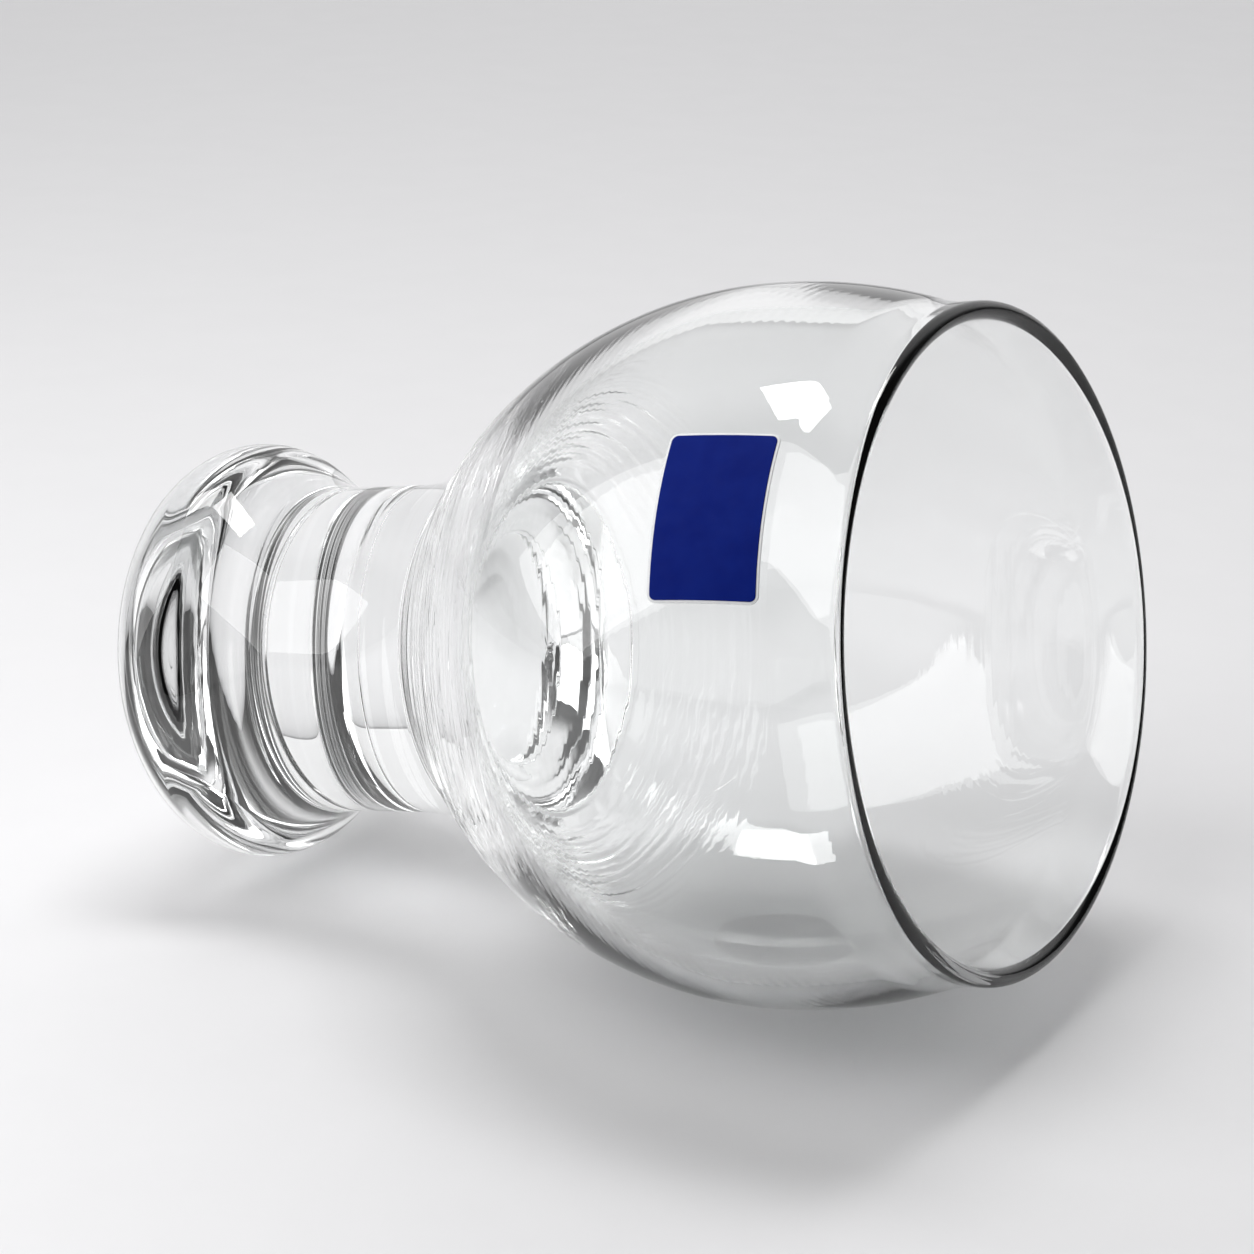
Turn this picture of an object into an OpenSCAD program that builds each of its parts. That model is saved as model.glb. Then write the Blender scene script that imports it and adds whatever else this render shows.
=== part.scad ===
// Footed mixing glass: a tulip bowl fused to a short solid stem and a heavy round-edged foot,
// with a two-layer sticker on the shoulder. It stands upright on its foot, base at z = 0,
// and the sticker faces -Y.

/* [Foot] */
// Diameter of the foot
foot_d = 69.2; // [56:0.2:84]
// Radius of the foot's full round edge
foot_edge_r = 8.3; // [6:0.1:10]
// Radius of the fillet that blends the foot into the stem
foot_fillet_r = 21; // [16:0.5:26]
// Diameter of the shallow hollow under the foot
hollow_d = 40; // [30:1:46]
// Depth of the hollow under the foot
hollow_h = 1.6; // [0.8:0.1:2.5]

/* [Stem] */
// Diameter of the stem at its waist
stem_d = 53.3; // [44:0.1:64]
// Length of the straight waist above the foot's fillet
waist_h = 12.3; // [8:0.1:20]
// Radius of the stem's flare towards the bowl
flare_r = 44.6; // [36:0.2:54]
// How far the flare reaches out beyond the waist at the seam
flare_out = 3.4; // [2:0.1:5]
// Radius of the crease that runs round the seam of bowl and stem
crease_r = 0.6; // [0.3:0.1:1]

/* [Bowl] */
// Widest diameter of the bowl
bowl_d = 110; // [92:1:132]
// Height from the seam up to the widest ring
belly_h = 53.2; // [44:0.2:64]
// Length of the straight slope of the hip, just above the seam
hip_len = 8.5; // [5:0.5:12]
// Height from the widest ring up to the rim
shoulder_h = 34.8; // [29:0.2:42]
// How far the rim is drawn in from the widest ring
rim_in = 4.8; // [3:0.1:7]
// Height of the upright wall at the rim
upright_h = 3.5; // [2:0.1:6]
// Share of the shoulder's curve that bulges outwards, before it turns upright
bulge_share = 0.76; // [0.6:0.02:0.84]

/* [Glass thickness] */
// Thickness of the rounded lip
lip_t = 2.8; // [2:0.1:4]
// Thickness of the wall at the widest ring
wall_t = 3.2; // [2.4:0.1:4.5]
// Thickness of the bowl's floor above the seam
floor_t = 5; // [4:0.5:9]
// Radius of the rounded floor inside the bowl
dish_r = 70; // [60:2:84]
// Radius of the heel, where the floor turns up into the wall
heel_r = 30; // [24:0.5:36]
// How much tighter the inside of the belly curves than its outside
belly_inset = 9.7; // [6:0.1:12]

/* [Label] */
// Width of the label's film, round the bowl
label_w = 25; // [18:0.5:32]
// Height of the label's film
label_h = 16; // [12:0.2:18]
// Height of the label's middle above the widest ring
label_rise = 14.7; // [10:0.1:18]
// Slant of the hand-applied label, in degrees
label_tilt = -2; // [-6:0.5:6]
// Radius of the label's corners
label_corner_r = 1.3; // [0.5:0.1:2.5]
// Width of the white border round the printed face
label_border = 0.4; // [0.3:0.1:1.5]
// Thickness of the white film
film_t = 0.15; // [0.1:0.05:0.3]
// Thickness of the printed face
print_t = 0.1; // [0.05:0.05:0.2]
// Gap between the film and the glass, filled by its adhesive
adhesive_gap = 0.03; // [0.02:0.01:0.1]

/* [Hidden] */
$fn = 128;

// Deepest that a chord may cut inside a round stretch of a profile
sag = 0.01;

glass_tint = [0.82, 0.88, 0.86, 0.45];
print_blue = [0.02, 0.09, 0.42];

// Foot: an edge circle and a fillet circle that touch
foot_r = foot_d / 2;
stem_r = stem_d / 2;
edge_x = foot_r - foot_edge_r;
fillet_x = stem_r + foot_fillet_r;
fillet_turn = acos((fillet_x - edge_x) / (foot_edge_r + foot_fillet_r));
foot_top = foot_edge_r + (foot_edge_r + foot_fillet_r) * sin(fillet_turn);
hollow_r = (pow(hollow_d / 2, 2) + pow(hollow_h, 2)) / (2 * hollow_h);
hollow_turn = asin(hollow_d / 2 / hollow_r);

// Stem: straight waist, then a flare that ends one crease radius short of the seam
flare_z = foot_top + waist_h;
seam_r = stem_r + flare_out;
flare_turn = acos(1 - flare_out / flare_r);
seam_z = flare_z + flare_r * sin(flare_turn);
flare_short = 2 * asin(crease_r / 2 / flare_r);

// Heights and radii of the bowl
widest_z = seam_z + belly_h;
rim_z = widest_z + shoulder_h;
upright_z = rim_z - upright_h;
shoulder_rise = shoulder_h - upright_h;
bowl_r = bowl_d / 2;
rim_r = bowl_r - rim_in;
lip_r = lip_t / 2;

// Outside of the belly: an arc, upright at the widest ring, tangent to the hip's slope
hip_run = belly_h + hip_len;
hip_out = bowl_r - seam_r;
hip_drop = (pow(hip_run, 2) - pow(hip_out, 2)) / (2 * hip_run);
hip_angle = atan2(hip_out, hip_drop);
belly_r = (belly_h - hip_drop) / tan(hip_angle / 2);

// Inside of the belly: an arc, upright at the widest ring, then a heel that touches both the
// belly's arc and the floor's dish
cavity_r = bowl_r - wall_t;
floor_z = seam_z + floor_t;
cavity_belly_r = belly_r - belly_inset;
dish_centre = [0, floor_z + dish_r];
belly_centre = [cavity_r - cavity_belly_r, widest_z];
between = belly_centre - dish_centre;
dish_reach = dish_r - heel_r;
belly_reach = cavity_belly_r - heel_r;
along = (pow(dish_reach, 2) - pow(belly_reach, 2) + pow(norm(between), 2)) / (2 * norm(between));
across = sqrt(pow(dish_reach, 2) - pow(along, 2));
heading = between / norm(between);
heel_centre = dish_centre + along * heading + across * [-heading[1], heading[0]];
from_dish = heel_centre - dish_centre;
from_belly = heel_centre - belly_centre;
dish_end = atan2(from_dish[1], from_dish[0]);
heel_end = atan2(from_belly[1], from_belly[0]);

label_z = widest_z + label_rise;

// Angle by which the two arcs of the label's skin overlap where they meet
lap = 0.2;

// Points of a round stretch about a centre, from one angle to another
function arc(x, z, r, from, to) =
    let (n = ceil(abs(to - from) / (2 * acos(1 - sag / r))))
    [for (i = [0 : n]) let (a = from + (to - from) * i / n) [x + r * cos(a), z + r * sin(a)]];

// The shoulder is an S-curve: a bulge from the widest ring, then a tuck up to the upright wall
function s_turn(run_in) = 2 * atan(run_in / shoulder_rise);
function bulge_r(run_in) = bulge_share * shoulder_rise / sin(s_turn(run_in));
function tuck_r(run_in) = (1 - bulge_share) * shoulder_rise / sin(s_turn(run_in));

function bulge_points(r_wide, r_top) =
    let (run_in = r_wide - r_top, r = bulge_r(run_in))
    arc(r_wide - r, widest_z, r, 0, s_turn(run_in));

function tuck_points(r_wide, r_top) =
    let (run_in = r_wide - r_top, r = tuck_r(run_in))
    arc(r_top + r, upright_z, r, 180 + s_turn(run_in), 180);

function reversed(points) = [for (i = [len(points) - 1 : -1 : 0]) points[i]];

outer_points = concat(
    arc(seam_r, seam_z, crease_r, 180, 90 - hip_angle),
    arc(bowl_r - belly_r, widest_z, belly_r, -hip_angle, 0),
    bulge_points(bowl_r, rim_r),
    tuck_points(bowl_r, rim_r)
);

cavity_points = concat(
    arc(dish_centre[0], dish_centre[1], dish_r, -90, dish_end),
    arc(heel_centre[0], heel_centre[1], heel_r, dish_end, heel_end),
    arc(belly_centre[0], belly_centre[1], cavity_belly_r, heel_end, 0),
    bulge_points(cavity_r, rim_r - lip_t),
    tuck_points(cavity_r, rim_r - lip_t)
);

module bowl() {
    color(glass_tint)
        rotate_extrude()
            polygon(concat(
                [[0, seam_z]],
                outer_points,
                arc(rim_r - lip_r, rim_z - lip_r, lip_r, 0, 180),
                reversed(cavity_points)
            ));
}

module stem() {
    color(glass_tint)
        rotate_extrude()
            polygon(concat(
                [[0, foot_top], [stem_r, foot_top]],
                arc(stem_r + flare_r, flare_z, flare_r, 180, 180 - flare_turn + flare_short),
                arc(seam_r, seam_z, crease_r, -90 - flare_turn + flare_short / 2, -180),
                [[0, seam_z]]
            ));
}

module foot() {
    color(glass_tint)
        rotate_extrude()
            polygon(concat(
                arc(0, hollow_h - hollow_r, hollow_r, 90, 90 - hollow_turn),
                arc(edge_x, foot_edge_r, foot_edge_r, -90, fillet_turn),
                arc(fillet_x, foot_top, foot_fillet_r, 180 + fillet_turn, 180),
                [[0, foot_top]]
            ));
}

// Rectangle with round corners, centred on the origin
module rounded_plate(w, h, r) {
    square([w - 2 * r, h], center = true);
    square([w, h - 2 * r], center = true);
    for (x = [-1, 1], y = [-1, 1])
        translate([x * (w / 2 - r), y * (h / 2 - r)]) circle(r, $fn = 32);
}

// Curved strip between two radii round one centre, from one angle to another
module arc_strip(x, z, r_in, r_out, from, to) {
    translate([x, z])
        intersection() {
            difference() {
                circle(r_out, $fn = 256);
                circle(r_in, $fn = 256);
            }
            polygon([[0, 0], 2 * r_out * [cos(from), sin(from)], 2 * r_out * [cos(to), sin(to)]]);
        }
}

// Half profile of a thin skin that follows the outside of the shoulder at a distance
module skin_profile(lift, t) {
    turn = s_turn(rim_in);
    bulge = bulge_r(rim_in);
    tuck = tuck_r(rim_in);
    arc_strip(bowl_r - bulge, widest_z, bulge + lift, bulge + lift + t, 0, turn + lap);
    arc_strip(rim_r + tuck, upright_z, tuck - lift - t, tuck - lift, 180, 180 + turn);
}

// One layer of the label: a skin over the shoulder, trimmed to the label's outline
module label_layer(lift, t, inset) {
    intersection() {
        rotate_extrude() skin_profile(lift, t);
        translate([0, 0, label_z])
            rotate([90, label_tilt, 0])
                linear_extrude(bowl_d)
                    rounded_plate(label_w - 2 * inset, label_h - 2 * inset, label_corner_r - inset);
    }
}

module label_film() {
    color("white") label_layer(adhesive_gap, film_t, 0);
}

module label_print() {
    color(print_blue) label_layer(adhesive_gap + film_t, print_t, label_border);
}

bowl();
stem();
foot();
label_film();
label_print();
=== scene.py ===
"""Looks of the footed mixing glass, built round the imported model.

The glass stands upright on its foot in the model's frame. The picture shows it lying on its
side, so the camera is rolled, and the floor is a plane that touches the foot's edge and the
widest ring of the bowl. The floor shows from its front only, so it hides nothing in other views.
"""
import math

import bmesh
import bpy
import numpy as np
from mathutils import Matrix, Vector


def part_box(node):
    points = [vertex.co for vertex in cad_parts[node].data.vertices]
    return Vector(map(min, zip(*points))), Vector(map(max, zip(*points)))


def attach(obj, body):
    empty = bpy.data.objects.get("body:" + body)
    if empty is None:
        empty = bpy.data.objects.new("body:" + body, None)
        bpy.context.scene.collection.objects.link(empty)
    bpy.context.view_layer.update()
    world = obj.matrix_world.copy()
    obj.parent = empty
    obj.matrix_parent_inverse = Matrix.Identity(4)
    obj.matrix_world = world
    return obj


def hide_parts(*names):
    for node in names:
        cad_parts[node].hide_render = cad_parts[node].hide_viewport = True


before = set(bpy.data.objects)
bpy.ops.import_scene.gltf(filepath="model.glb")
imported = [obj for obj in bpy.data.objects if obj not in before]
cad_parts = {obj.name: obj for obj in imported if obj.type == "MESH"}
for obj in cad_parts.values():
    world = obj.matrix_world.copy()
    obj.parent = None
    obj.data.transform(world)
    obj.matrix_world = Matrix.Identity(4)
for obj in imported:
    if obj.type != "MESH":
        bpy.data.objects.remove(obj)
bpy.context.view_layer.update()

MM = 0.001

# ---------------------------------------------------------------- sizes, in mm, as in the model
bowl_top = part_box("bowl")[1]
foot_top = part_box("foot")[1]
stem_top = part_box("stem")[1]

BOWL_R = round(bowl_top.x / MM, 2)
RIM_Z = round(bowl_top.z / MM, 3)
SEAM_Z = round(stem_top.z / MM, 3)
FOOT_R = round(foot_top.x / MM, 2)
FOOT_TOP = round(foot_top.z / MM, 3)

FOOT_EDGE_R, FOOT_FILLET_R = 8.3, 21.0
HOLLOW_D, HOLLOW_H = 40.0, 1.6
STEM_R, WAIST_H = 26.65, 12.3
FLARE_R, FLARE_OUT, CREASE_R = 44.6, 3.4, 0.6
BELLY_H, HIP_LEN, SHOULDER_H = 53.2, 8.5, 34.8
RIM_IN, UPRIGHT_H, BULGE_SHARE = 4.8, 3.5, 0.76
LIP_T, WALL_T, FLOOR_T, DISH_R = 2.8, 3.2, 5.0, 70.0
HEEL_R, BELLY_INSET = 30.0, 9.7
LABEL_W, LABEL_H, LABEL_RISE, LABEL_TILT = 25.0, 16.0, 14.7, -2.0
LABEL_CORNER_R, LABEL_BORDER = 1.3, 0.4
FILM_T, PRINT_T, ADHESIVE_GAP = 0.15, 0.1, 0.03

SAG = 0.004  # deepest that a chord may cut inside an arc
LIP_SAG = 0.0015
TURNS = 768  # points round each ring

# Heights between which the outside of the hip is drawn with fine steps, for its ripples
HIP_LOW, HIP_HIGH = 58.5, 80.0
HIP_STEP, PLAIN_STEP = 0.16, 0.8
RIPPLE, SWIRL = 0.055, 0.05  # depths of the hip's rings and of the cavity's waves

SEAM_R = STEM_R + FLARE_OUT
FLARE_Z = FOOT_TOP + WAIST_H
FLARE_TURN = math.degrees(math.acos(1 - FLARE_OUT / FLARE_R))
FLARE_SHORT = math.degrees(2 * math.asin(CREASE_R / 2 / FLARE_R))
EDGE_X = FOOT_R - FOOT_EDGE_R
FILLET_X = STEM_R + FOOT_FILLET_R
FILLET_TURN = math.degrees(math.acos((FILLET_X - EDGE_X) / (FOOT_EDGE_R + FOOT_FILLET_R)))
HOLLOW_R = ((HOLLOW_D / 2) ** 2 + HOLLOW_H ** 2) / (2 * HOLLOW_H)
HOLLOW_TURN = math.degrees(math.asin(HOLLOW_D / 2 / HOLLOW_R))

WIDEST_Z = SEAM_Z + BELLY_H
UPRIGHT_Z = RIM_Z - UPRIGHT_H
SHOULDER_RISE = SHOULDER_H - UPRIGHT_H
RIM_R = BOWL_R - RIM_IN
LIP_R = LIP_T / 2

HIP_RUN = BELLY_H + HIP_LEN
HIP_OUT = BOWL_R - SEAM_R
HIP_DROP = (HIP_RUN ** 2 - HIP_OUT ** 2) / (2 * HIP_RUN)
HIP_ANGLE = math.degrees(math.atan2(HIP_OUT, HIP_DROP))
BELLY_R = (BELLY_H - HIP_DROP) / math.tan(math.radians(HIP_ANGLE) / 2)

CAVITY_R = BOWL_R - WALL_T
FLOOR_Z = SEAM_Z + FLOOR_T
CAVITY_BELLY_R = BELLY_R - BELLY_INSET
DISH_CENTRE = Vector((0, FLOOR_Z + DISH_R))
BELLY_CENTRE = Vector((CAVITY_R - CAVITY_BELLY_R, WIDEST_Z))


# ---------------------------------------------------------------- profiles
def arc(x, z, r, start, end, sag=SAG):
    """Points of a round stretch about a centre, from one angle to another, in degrees."""
    step = math.degrees(2 * math.acos(1 - sag / r))
    n = max(4, math.ceil(abs(end - start) / step))
    turn = [math.radians(start + (end - start) * i / n) for i in range(n + 1)]
    return [(x + r * math.cos(a), z + r * math.sin(a)) for a in turn]


def s_turn(run_in):
    return math.degrees(2 * math.atan(run_in / SHOULDER_RISE))


def shoulder(r_wide, r_top, sag=SAG):
    """The S-curve from the widest ring up to the upright wall."""
    turn = s_turn(r_wide - r_top)
    whole = SHOULDER_RISE / math.sin(math.radians(turn))
    bulge, tuck = whole * BULGE_SHARE, whole * (1 - BULGE_SHARE)
    return (arc(r_wide - bulge, WIDEST_Z, bulge, 0, turn, sag)
            + arc(r_top + tuck, UPRIGHT_Z, tuck, 180 + turn, 180, sag))


def outer_profile(sag=SAG):
    return (arc(SEAM_R, SEAM_Z, CREASE_R, 180, 90 - HIP_ANGLE)
            + arc(BOWL_R - BELLY_R, WIDEST_Z, BELLY_R, -HIP_ANGLE, 0, sag)
            + shoulder(BOWL_R, RIM_R, sag))


def heel_arc():
    """Centre of the heel's arc, which touches the dish and the belly, and the angles it spans."""
    between = BELLY_CENTRE - DISH_CENTRE
    dish_reach, belly_reach = DISH_R - HEEL_R, CAVITY_BELLY_R - HEEL_R
    gap = between.length
    along = (dish_reach ** 2 - belly_reach ** 2 + gap ** 2) / (2 * gap)
    across = math.sqrt(dish_reach ** 2 - along ** 2)
    heading = between / gap
    centre = DISH_CENTRE + along * heading + across * Vector((-heading.y, heading.x))
    spans = (centre - DISH_CENTRE, centre - BELLY_CENTRE)
    return centre, [math.degrees(math.atan2(v.y, v.x)) for v in spans]


def cavity_profile(sag=SAG):
    centre, (dish_end, heel_end) = heel_arc()
    return (arc(*DISH_CENTRE, DISH_R, -90, dish_end, sag)
            + arc(*centre, HEEL_R, dish_end, heel_end, sag)
            + arc(*BELLY_CENTRE, CAVITY_BELLY_R, heel_end, 0, sag)
            + shoulder(CAVITY_R, RIM_R - LIP_T, sag))


def lip_profile():
    return arc(RIM_R - LIP_R, RIM_Z - LIP_R, LIP_R, 0, 180, LIP_SAG)


def stem_profile():
    return ([(STEM_R, FOOT_TOP)]
            + arc(STEM_R + FLARE_R, FLARE_Z, FLARE_R, 180, 180 - FLARE_TURN + FLARE_SHORT)
            + arc(SEAM_R, SEAM_Z, CREASE_R, -90 - FLARE_TURN + FLARE_SHORT / 2, -180))


def foot_profile():
    return (arc(0, HOLLOW_H - HOLLOW_R, HOLLOW_R, 90, 90 - HOLLOW_TURN)
            + arc(EDGE_X, FOOT_EDGE_R, FOOT_EDGE_R, -90, FILLET_TURN)
            + arc(FILLET_X, FOOT_TOP, FOOT_FILLET_R, 180 + FILLET_TURN, 180))


def clean(points, shortest=0.02):
    kept = [points[0]]
    for p in points[1:]:
        if math.dist(p, kept[-1]) > shortest:
            kept.append(p)
    return kept


def resampled(points, step):
    """The same outline with points at most one step apart."""
    out = [points[0]]
    for a, b in zip(points, points[1:]):
        n = max(1, math.ceil(math.dist(a, b) / step))
        out += [(a[0] + (b[0] - a[0]) * i / n, a[1] + (b[1] - a[1]) * i / n)
                for i in range(1, n + 1)]
    return out


# ---------------------------------------------------------------- meshes
def smoothstep(lo, hi, v):
    t = np.clip((v - lo) / (hi - lo), 0, 1)
    return t * t * (3 - 2 * t)


def revolved(name, points, shape=None, flat_ends=()):
    """A closed mesh of revolution. shape(r, z, nr, nz, angle) gives each ring point's offset along
    the profile's normal, in mm. Faces on a seam plane take the second material."""
    pts = np.array(points, float)
    on_axis = pts[:, 0] < 1e-6
    ring = np.where(~on_axis)[0]
    d = np.roll(pts, -1, 0) - np.roll(pts, 1, 0)
    normal = np.stack([d[:, 1], -d[:, 0]], 1)
    normal /= np.linalg.norm(normal, axis=1)[:, None]
    angle = np.linspace(0, 2 * math.pi, TURNS, endpoint=False)
    r = np.repeat(pts[ring, 0][:, None], TURNS, 1)
    z = np.repeat(pts[ring, 1][:, None], TURNS, 1)
    nr, nz = normal[ring, 0][:, None], normal[ring, 1][:, None]
    if shape:
        push = shape(r, z, nr, nz, angle[None, :])
        r, z = r + push * nr, z + push * nz
    co = np.stack([r * np.cos(angle), r * np.sin(angle), z], -1).reshape(-1, 3)
    first = {int(k): i * TURNS for i, k in enumerate(ring)}
    poles = {}
    for k in np.where(on_axis)[0]:
        poles[int(k)] = len(co)
        co = np.vstack([co, [0, 0, pts[k, 1]]])
    faces, seam = [], []
    j = np.arange(TURNS)
    nxt = (j + 1) % TURNS
    n = len(pts)
    for k in range(n):
        m = (k + 1) % n
        if k in poles and m in poles:
            continue
        is_seam = any(max(abs(pts[k, 1] - s), abs(pts[m, 1] - s)) < 1e-3 for s in flat_ends)
        if k in poles:
            quad = [(poles[k], first[m] + b, first[m] + a) for a, b in zip(j, nxt)]
        elif m in poles:
            quad = [(first[k] + a, first[k] + b, poles[m]) for a, b in zip(j, nxt)]
        else:
            quad = [(first[k] + a, first[k] + b, first[m] + b, first[m] + a)
                    for a, b in zip(j, nxt)]
        faces += quad
        seam += [is_seam] * TURNS
    return mesh_object(name, co * MM, faces, seam)


def mesh_object(name, co, faces, second=None):
    me = bpy.data.meshes.new(name)
    me.from_pydata([tuple(map(float, p)) for p in co], [], [tuple(map(int, f)) for f in faces])
    if second:
        me.polygons.foreach_set("material_index", np.array(second, dtype=np.int32))
    me.polygons.foreach_set("use_smooth", [not (second and second[i]) for i in range(len(faces))])
    me.update()
    bm = bmesh.new()
    bm.from_mesh(me)
    bmesh.ops.recalc_face_normals(bm, faces=bm.faces)
    bm.to_mesh(me)
    bm.free()
    ob = bpy.data.objects.new(name, me)
    bpy.context.scene.collection.objects.link(ob)
    return ob


# ---------------------------------------------------------------- hand-made unevenness of the glass
def hip_ripples(z, angle):
    """Fine rings round the hip, a little uneven from side to side, in mm."""
    window = smoothstep(59.5, 62, z) * (1 - smoothstep(71, 79, z))
    drift = 0.9 * np.sin(2 * angle + 0.7) + 0.6 * np.sin(5 * angle + 2.1) + 0.3 * np.sin(11 * angle)
    wave = (0.6 * np.sin(2 * math.pi * z / 2.1 + drift)
            + 0.5 * np.sin(2 * math.pi * z / 1.31 + 1.3 - 1.2 * drift)
            + 0.25 * np.sin(2 * math.pi * z / 0.9 + 0.4 + 0.8 * drift))
    return RIPPLE * window * wave


def slow_waves(z, angle, size):
    """The broad, shallow waves of blown glass."""
    return size * (np.sin(3 * angle + z / 17) + 0.6 * np.sin(5 * angle - z / 11 + 1.9)
                   + 0.4 * np.sin(8 * angle + z / 7 + 0.6))


def cavity_swirls(r, z, angle):
    """Curled waves where the cavity's floor turns up into its wall."""
    window = smoothstep(8, 20, r) * (1 - smoothstep(74, 86, z))
    curl = angle + 0.035 * (z - FLOOR_Z)
    return SWIRL * window * (np.sin(5 * curl + 0.5) + 0.7 * np.sin(9 * curl + 1.1 + 0.15 * z)
                             + 0.4 * np.sin(14 * curl + 0.2 * z))


def bowl_shape(r, z, nr, nz, angle):
    outside = hip_ripples(z, angle) + slow_waves(z, angle, 0.012) * smoothstep(62, 75, z)
    inner = cavity_swirls(r, z, angle) + slow_waves(z + 40, angle + 1, 0.02)
    fade = (1 - smoothstep(RIM_Z - 8, RIM_Z - 4, z))
    return np.where(cavity_side[:, None], -inner, outside) * fade


outer = resampled(clean(outer_profile()), HIP_STEP)
outer = [p for i, p in enumerate(outer)
         if HIP_LOW < p[1] < HIP_HIGH or i % 4 == 0 or i == len(outer) - 1]
lip = clean(lip_profile())
cavity = resampled(clean(cavity_profile()), 0.6)
bowl_points = clean([(0, SEAM_Z)] + outer + lip + cavity[::-1], 1e-3)
rings = sum(p[0] > 1e-6 for p in bowl_points)
cavity_rings = sum(p[0] > 1e-6 for p in cavity)
cavity_side = np.arange(rings) >= rings - cavity_rings

stem_points = clean([(0, FOOT_TOP)] + resampled(stem_profile(), PLAIN_STEP) + [(0, SEAM_Z)], 1e-3)
foot_points = clean(resampled(foot_profile(), PLAIN_STEP) + [(0, FOOT_TOP)], 1e-3)

glass_bowl = revolved("glass_bowl", bowl_points, bowl_shape, (SEAM_Z,))
glass_stem = revolved("glass_stem", stem_points, None, (FOOT_TOP, SEAM_Z))
glass_foot = revolved("glass_foot", foot_points, None, (FOOT_TOP,))


# ---------------------------------------------------------------- label
def shoulder_radius(z):
    """Outer radius of the shoulder at a height, and its normal."""
    turn = math.radians(s_turn(RIM_IN))
    whole = SHOULDER_RISE / math.sin(turn)
    bulge, tuck = whole * BULGE_SHARE, whole * (1 - BULGE_SHARE)
    if z < WIDEST_Z + bulge * math.sin(turn):
        a = math.asin((z - WIDEST_Z) / bulge)
        return BOWL_R - bulge + bulge * math.cos(a), math.cos(a), math.sin(a)
    a = math.asin((UPRIGHT_Z - z) / tuck)
    return RIM_R + tuck - tuck * math.cos(a), math.cos(a), math.sin(a)


def label_point(u, v, lift):
    """A point of the label's face: u to the right and v up, in mm, before its tilt."""
    t = math.radians(LABEL_TILT)
    x = u * math.cos(t) + v * math.sin(t)
    z = WIDEST_Z + LABEL_RISE - u * math.sin(t) + v * math.cos(t)
    r, nr, nz = shoulder_radius(z)
    angle = -math.pi / 2 + math.asin(x / r)
    rr = r + lift * nr
    return rr * math.cos(angle) * MM, rr * math.sin(angle) * MM, (z + lift * nz) * MM


def label_layer(name, w, h, corner, lift, thick):
    """A closed, curved sheet with round corners."""
    cols, rows, edge_n = 44, 26, 10
    us = np.linspace(-w / 2, w / 2, cols + 1)
    vs = np.linspace(-h / 2, h / 2, rows + 1)

    def rounded(u, v):
        """Pull the grid's outer points in to the round corners."""
        cu, cv = w / 2 - corner, h / 2 - corner
        du, dv = abs(u) - cu, abs(v) - cv
        if du > 0 and dv > 0:
            m = max(du, dv)
            q = math.hypot(du, dv)
            du, dv = du * m / q, dv * m / q
            return math.copysign(cu + du, u), math.copysign(cv + dv, v)
        return u, v

    # Closer steps at the corners
    us = np.unique(np.concatenate([us[(us > -w / 2 + corner) & (us < w / 2 - corner)],
                                   np.linspace(-w / 2, -w / 2 + corner, edge_n),
                                   np.linspace(w / 2 - corner, w / 2, edge_n)]))
    vs = np.unique(np.concatenate([vs[(vs > -h / 2 + corner) & (vs < h / 2 - corner)],
                                   np.linspace(-h / 2, -h / 2 + corner, edge_n),
                                   np.linspace(h / 2 - corner, h / 2, edge_n)]))
    co, faces = [], []
    nu, nv = len(us), len(vs)
    for side in (lift, lift + thick):
        for v in vs:
            for u in us:
                co.append(label_point(*rounded(u, v), side))
    size = nu * nv
    for j in range(nv - 1):
        for i in range(nu - 1):
            a = j * nu + i
            faces.append((a, a + nu, a + nu + 1, a + 1))
            faces.append((size + a, size + a + 1, size + a + nu + 1, size + a + nu))
    border = (list(range(nu)) + [j * nu + nu - 1 for j in range(1, nv)]
              + [(nv - 1) * nu + i for i in range(nu - 2, -1, -1)]
              + [j * nu for j in range(nv - 2, 0, -1)])
    for a, b in zip(border, border[1:] + border[:1]):
        faces.append((a, b, size + b, size + a))
    return mesh_object(name, np.array(co), faces)


film = label_layer("label_film_sheet", LABEL_W, LABEL_H, LABEL_CORNER_R, ADHESIVE_GAP, FILM_T)
print_face = label_layer("label_print_sheet",
                         LABEL_W - 2 * LABEL_BORDER, LABEL_H - 2 * LABEL_BORDER,
                         LABEL_CORNER_R - LABEL_BORDER, ADHESIVE_GAP + FILM_T, PRINT_T)


# ---------------------------------------------------------------- materials
GLASS_IOR = 1.52
TINT_LIGHT, TINT_DEEP = (0.985, 0.992, 0.990), (0.972, 0.982, 0.978)
FILM_GREY, FILM_WHITE = (0.78, 0.79, 0.80), (0.86, 0.86, 0.86)
BLUE_DEEP, BLUE_LIGHT = (0.0002, 0.0085, 0.150), (0.0014, 0.0125, 0.176)
PAPER_GREY, PAPER_WHITE = (0.80, 0.797, 0.806), (0.81, 0.807, 0.816)


def new_material(name):
    m = bpy.data.materials.new(name)
    m.use_nodes = True
    nt = m.node_tree
    nt.nodes.clear()
    out = nt.nodes.new("ShaderNodeOutputMaterial")
    return m, nt, out


def noise(nt, coords, scale, detail, rough=0.5):
    n = nt.nodes.new("ShaderNodeTexNoise")
    n.inputs["Scale"].default_value = scale
    n.inputs["Detail"].default_value = detail
    n.inputs["Roughness"].default_value = rough
    nt.links.new(coords, n.inputs["Vector"])
    return n.outputs["Fac"]


def object_coords(nt):
    return nt.nodes.new("ShaderNodeTexCoord").outputs["Object"]


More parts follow.
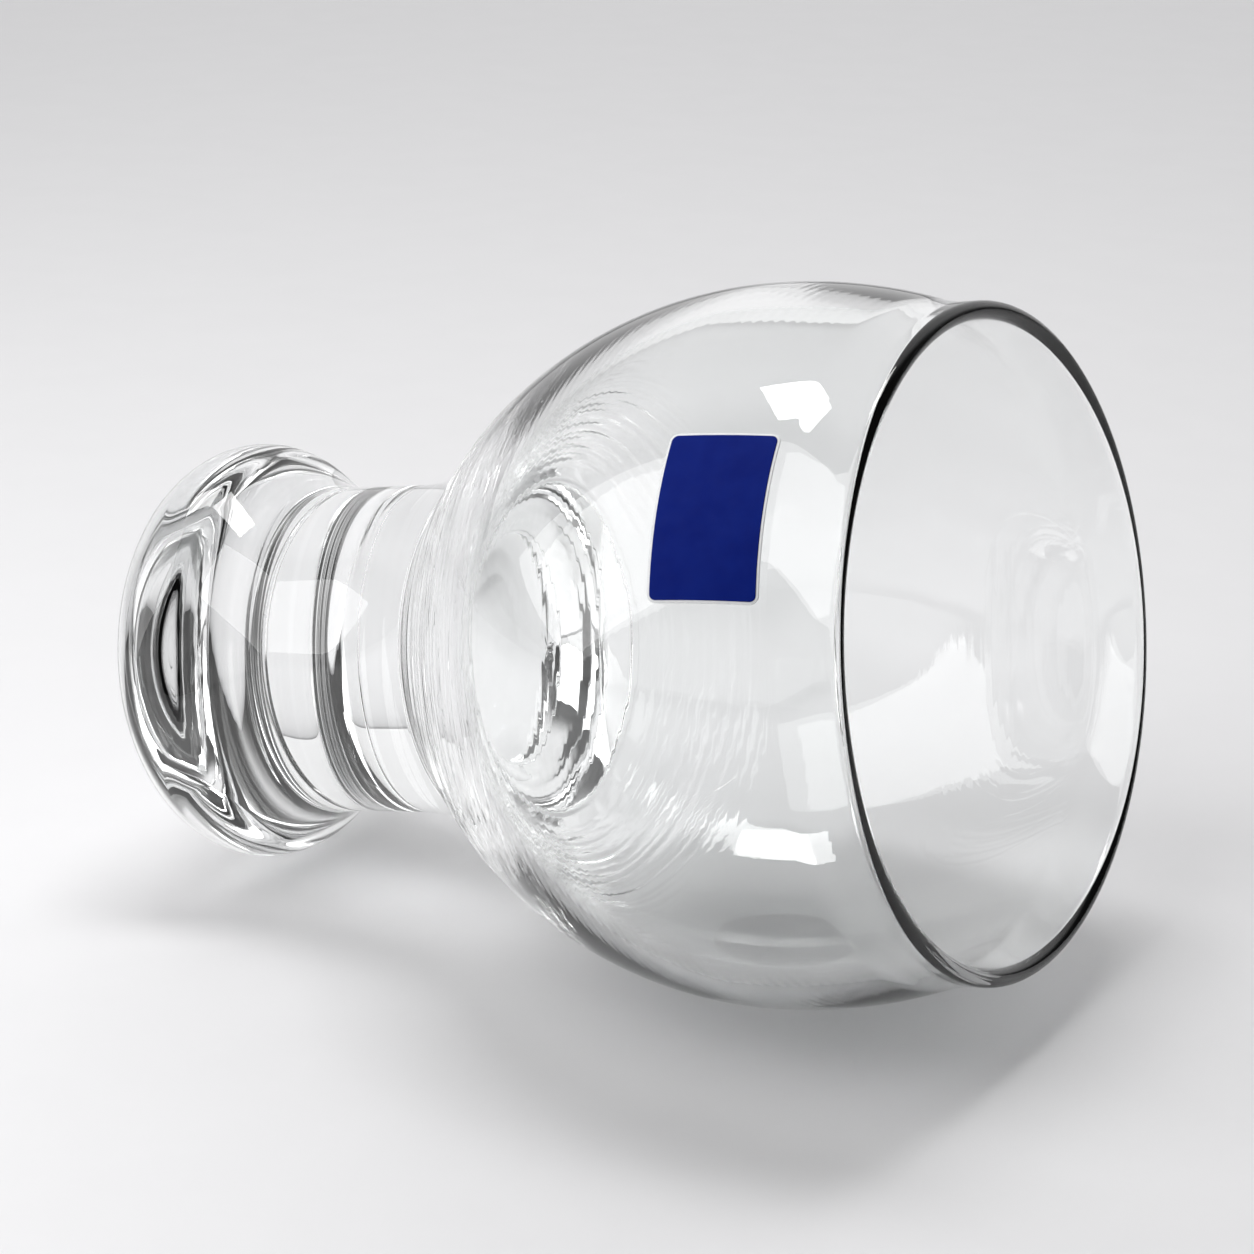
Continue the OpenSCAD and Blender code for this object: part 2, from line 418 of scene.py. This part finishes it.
def ramp(nt, fac, lo, hi, c0, c1):
    n = nt.nodes.new("ShaderNodeValToRGB")
    n.color_ramp.elements[0].position = lo
    n.color_ramp.elements[1].position = hi
    n.color_ramp.elements[0].color = (*c0, 1)
    n.color_ramp.elements[1].color = (*c1, 1)
    nt.links.new(fac, n.inputs["Fac"])
    return n.outputs["Color"]


def bump(nt, height, strength, distance):
    b = nt.nodes.new("ShaderNodeBump")
    b.inputs["Strength"].default_value = strength
    b.inputs["Distance"].default_value = distance
    nt.links.new(height, b.inputs["Height"])
    return b.outputs["Normal"]


def glass_material(name):
    """Clear glass with a slightly uneven tint, faint smears and shallow waves."""
    m, nt, out = new_material(name)
    p = nt.nodes.new("ShaderNodeBsdfPrincipled")
    p.inputs["IOR"].default_value = GLASS_IOR
    p.inputs["Transmission Weight"].default_value = 1.0
    coords = object_coords(nt)
    nt.links.new(ramp(nt, noise(nt, coords, 40, 3), 0.35, 0.65, TINT_DEEP, TINT_LIGHT),
                 p.inputs["Base Color"])
    nt.links.new(ramp(nt, noise(nt, coords, 160, 5, 0.7), 0.55, 0.8, (0.0,) * 3, (0.03,) * 3),
                 p.inputs["Roughness"])
    nt.links.new(bump(nt, noise(nt, coords, 45, 2), 0.12, 0.0001), p.inputs["Normal"])
    nt.links.new(p.outputs["BSDF"], out.inputs["Surface"])
    return m


def clear_material():
    """For the faces at the fused seams, which must not show."""
    m, nt, out = new_material("fused_seam")
    t = nt.nodes.new("ShaderNodeBsdfTransparent")
    nt.links.new(t.outputs["BSDF"], out.inputs["Surface"])
    return m


def film_material():
    m, nt, out = new_material("label_white_film")
    p = nt.nodes.new("ShaderNodeBsdfPrincipled")
    coords = object_coords(nt)
    nt.links.new(ramp(nt, noise(nt, coords, 900, 4), 0.3, 0.7, FILM_GREY, FILM_WHITE),
                 p.inputs["Base Color"])
    p.inputs["Roughness"].default_value = 0.35
    nt.links.new(bump(nt, noise(nt, coords, 1500, 3), 0.1, 0.0002), p.inputs["Normal"])
    nt.links.new(p.outputs["BSDF"], out.inputs["Surface"])
    return m


def print_material():
    m, nt, out = new_material("label_blue_print")
    p = nt.nodes.new("ShaderNodeBsdfPrincipled")
    coords = object_coords(nt)
    nt.links.new(ramp(nt, noise(nt, coords, 260, 5), 0.3, 0.7, BLUE_DEEP, BLUE_LIGHT),
                 p.inputs["Base Color"])
    p.inputs["Specular IOR Level"].default_value = 0.06
    nt.links.new(ramp(nt, noise(nt, coords, 600, 4), 0.3, 0.7, (0.5,) * 3, (0.62,) * 3),
                 p.inputs["Roughness"])
    nt.links.new(bump(nt, noise(nt, coords, 900, 3), 0.08, 0.0002), p.inputs["Normal"])
    nt.links.new(p.outputs["BSDF"], out.inputs["Surface"])
    return m


CLEAR = clear_material()
BODY = "root"
for piece, node, slot, mat in (
        (glass_bowl, "bowl", "bowl_glass", glass_material("bowl_clear_glass")),
        (glass_stem, "stem", "stem_glass", glass_material("stem_clear_glass")),
        (glass_foot, "foot", "foot_glass", glass_material("foot_clear_glass")),
        (film, "label_film", "label_film", film_material()),
        (print_face, "label_print", "label_print", print_material())):
    piece.data.materials.append(mat)
    if node in ("bowl", "stem", "foot"):
        piece.data.materials.append(CLEAR)
    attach(piece, BODY)
    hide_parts(node)

# ---------------------------------------------------------------- camera
CAM_POS = Vector((0.151094, -0.421036, 0.369560))
CAM_RIGHT = Vector((-0.175983, 0.514851, 0.839022))
CAM_DOWN = Vector((0.941043, 0.338137, -0.010110))
CAM_FORWARD = Vector((-0.288909, 0.787776, -0.544004))
camera_data = bpy.data.cameras.new("camera")
camera_data.lens = 97.6
camera_data.clip_start = 0.01
camera = bpy.data.objects.new("camera", camera_data)
bpy.context.scene.collection.objects.link(camera)
pose = Matrix((CAM_RIGHT, -CAM_DOWN, -CAM_FORWARD)).transposed().to_4x4()
pose.translation = CAM_POS
camera.matrix_world = pose
bpy.context.scene.camera = camera

# ---------------------------------------------------------------- the lying glass's surroundings
UP = Vector((-0.787545, -0.584996, 0.193787)).normalized()
RIGHT = (CAM_RIGHT - UP * CAM_RIGHT.dot(UP)).normalized()
BACK = UP.cross(RIGHT)


def lowest(r, z, rounding):
    """How far along UP the lowest point of a ring lies."""
    flat = Vector((UP.x, UP.y, 0))
    return -flat.length * r * MM + UP.z * z * MM - rounding * MM


def toward(az, el):
    """Unit vector: azimuth 0 away from the camera, 90 to its right, elevation over the floor."""
    a, e = math.radians(az), math.radians(el)
    return RIGHT * (math.sin(a) * math.cos(e)) + BACK * (math.cos(a) * math.cos(e)) + UP * math.sin(e)


CLEARANCE = 0.0002
FLOOR_HALF = 3.0
foot_low = lowest(FOOT_R - FOOT_EDGE_R, FOOT_EDGE_R, FOOT_EDGE_R)
level = min(foot_low, lowest(BOWL_R, WIDEST_Z, 0)) - CLEARANCE
MIDDLE = Vector((0, 0, 0.07))
flat_middle = MIDDLE - UP * (MIDDLE.dot(UP) - level)


def stage_floor(half):
    """A square of pale paper that shows from above only."""
    corners = [flat_middle + RIGHT * a * half + BACK * b * half
               for a, b in ((-1, -1), (1, -1), (1, 1), (-1, 1))]
    me = bpy.data.meshes.new("studio_floor")
    me.from_pydata(corners, [], [(0, 1, 2, 3)])
    ob = bpy.data.objects.new("studio_floor", me)
    bpy.context.scene.collection.objects.link(ob)
    m, nt, out = new_material("pale_paper")
    d = nt.nodes.new("ShaderNodeBsdfDiffuse")
    nt.links.new(ramp(nt, noise(nt, object_coords(nt), 60, 4), 0.3, 0.7, PAPER_GREY, PAPER_WHITE),
                 d.inputs["Color"])
    t = nt.nodes.new("ShaderNodeBsdfTransparent")
    mix = nt.nodes.new("ShaderNodeMixShader")
    geo = nt.nodes.new("ShaderNodeNewGeometry")
    nt.links.new(geo.outputs["Backfacing"], mix.inputs["Fac"])
    nt.links.new(d.outputs["BSDF"], mix.inputs[1])
    nt.links.new(t.outputs["BSDF"], mix.inputs[2])
    nt.links.new(mix.outputs["Shader"], out.inputs["Surface"])
    me.materials.append(m)


stage_floor(FLOOR_HALF)


def softbox(name, az, el, distance, width, height, watts, aim=MIDDLE):
    """An area light with its width along the glass's axis."""
    data = bpy.data.lights.new(name, "AREA")
    data.shape = "RECTANGLE"
    data.size, data.size_y = width, height
    data.energy = watts
    ob = bpy.data.objects.new(name, data)
    ob.visible_camera = False
    bpy.context.scene.collection.objects.link(ob)
    z = toward(az, el)
    x = (RIGHT - z * RIGHT.dot(z)).normalized()
    place = Matrix((x, z.cross(x), z)).transposed().to_4x4()
    place.translation = aim + z * distance
    ob.matrix_world = place
    return ob


softbox("main_softbox", -112, 41, 0.6, 0.84, 0.44, 2.85)
softbox("top_light", 4, 79, 1.0, 0.5, 0.25, 3.9)

# Lights the far sweep of the floor only, and leaves no reflection in the glass
sweep_light = softbox("sweep_light", 0, 65, 0.9, 2.0, 0.6, 4.2, flat_middle + BACK * 0.85)
sweep_light.visible_glossy = False
sweep_light.visible_transmission = False


# The room is dark, but for a pale sweep behind the glass and a pale patch low on the left
def facing(nt, tc, direction, near, far):
    """1 within near degrees of a direction, falling to 0 at far degrees."""
    dot = nt.nodes.new("ShaderNodeVectorMath")
    dot.operation = "DOT_PRODUCT"
    dot.inputs[1].default_value = direction
    nt.links.new(tc.outputs["Generated"], dot.inputs[0])
    fade = nt.nodes.new("ShaderNodeMapRange")
    fade.interpolation_type = "SMOOTHSTEP"
    fade.inputs["From Min"].default_value = math.cos(math.radians(far))
    fade.inputs["From Max"].default_value = math.cos(math.radians(near))
    nt.links.new(dot.outputs["Value"], fade.inputs["Value"])
    return fade.outputs["Result"]


PALE, DARK = (0.92, 0.917, 0.925, 1), (0.06, 0.06, 0.06, 1)
world = bpy.data.worlds.new("room")
bpy.context.scene.world = world
world.use_nodes = True
nt = world.node_tree
nt.nodes.clear()
wout = nt.nodes.new("ShaderNodeOutputWorld")
bg = nt.nodes.new("ShaderNodeBackground")
tc = nt.nodes.new("ShaderNodeTexCoord")
shade = None
for az, el, near, far in ((0, 25, 42, 62), (-135, -10, 20, 40)):
    lobe = facing(nt, tc, toward(az, el), near, far)
    if shade is None:
        shade = lobe
        continue
    most = nt.nodes.new("ShaderNodeMath")
    most.operation = "MAXIMUM"
    nt.links.new(shade, most.inputs[0])
    nt.links.new(lobe, most.inputs[1])
    shade = most.outputs["Value"]
mix = nt.nodes.new("ShaderNodeMix")
mix.data_type = "RGBA"
nt.links.new(shade, mix.inputs["Factor"])
mix.inputs["A"].default_value = DARK
mix.inputs["B"].default_value = PALE
nt.links.new(mix.outputs["Result"], bg.inputs["Color"])
nt.links.new(bg.outputs["Background"], wout.inputs["Surface"])

scene = bpy.context.scene
scene.view_settings.view_transform = "Standard"
scene.cycles.use_denoising = True
scene.cycles.max_bounces = 20
scene.cycles.transmission_bounces = 20
scene.cycles.glossy_bounces = 8
scene.cycles.transparent_max_bounces = 20
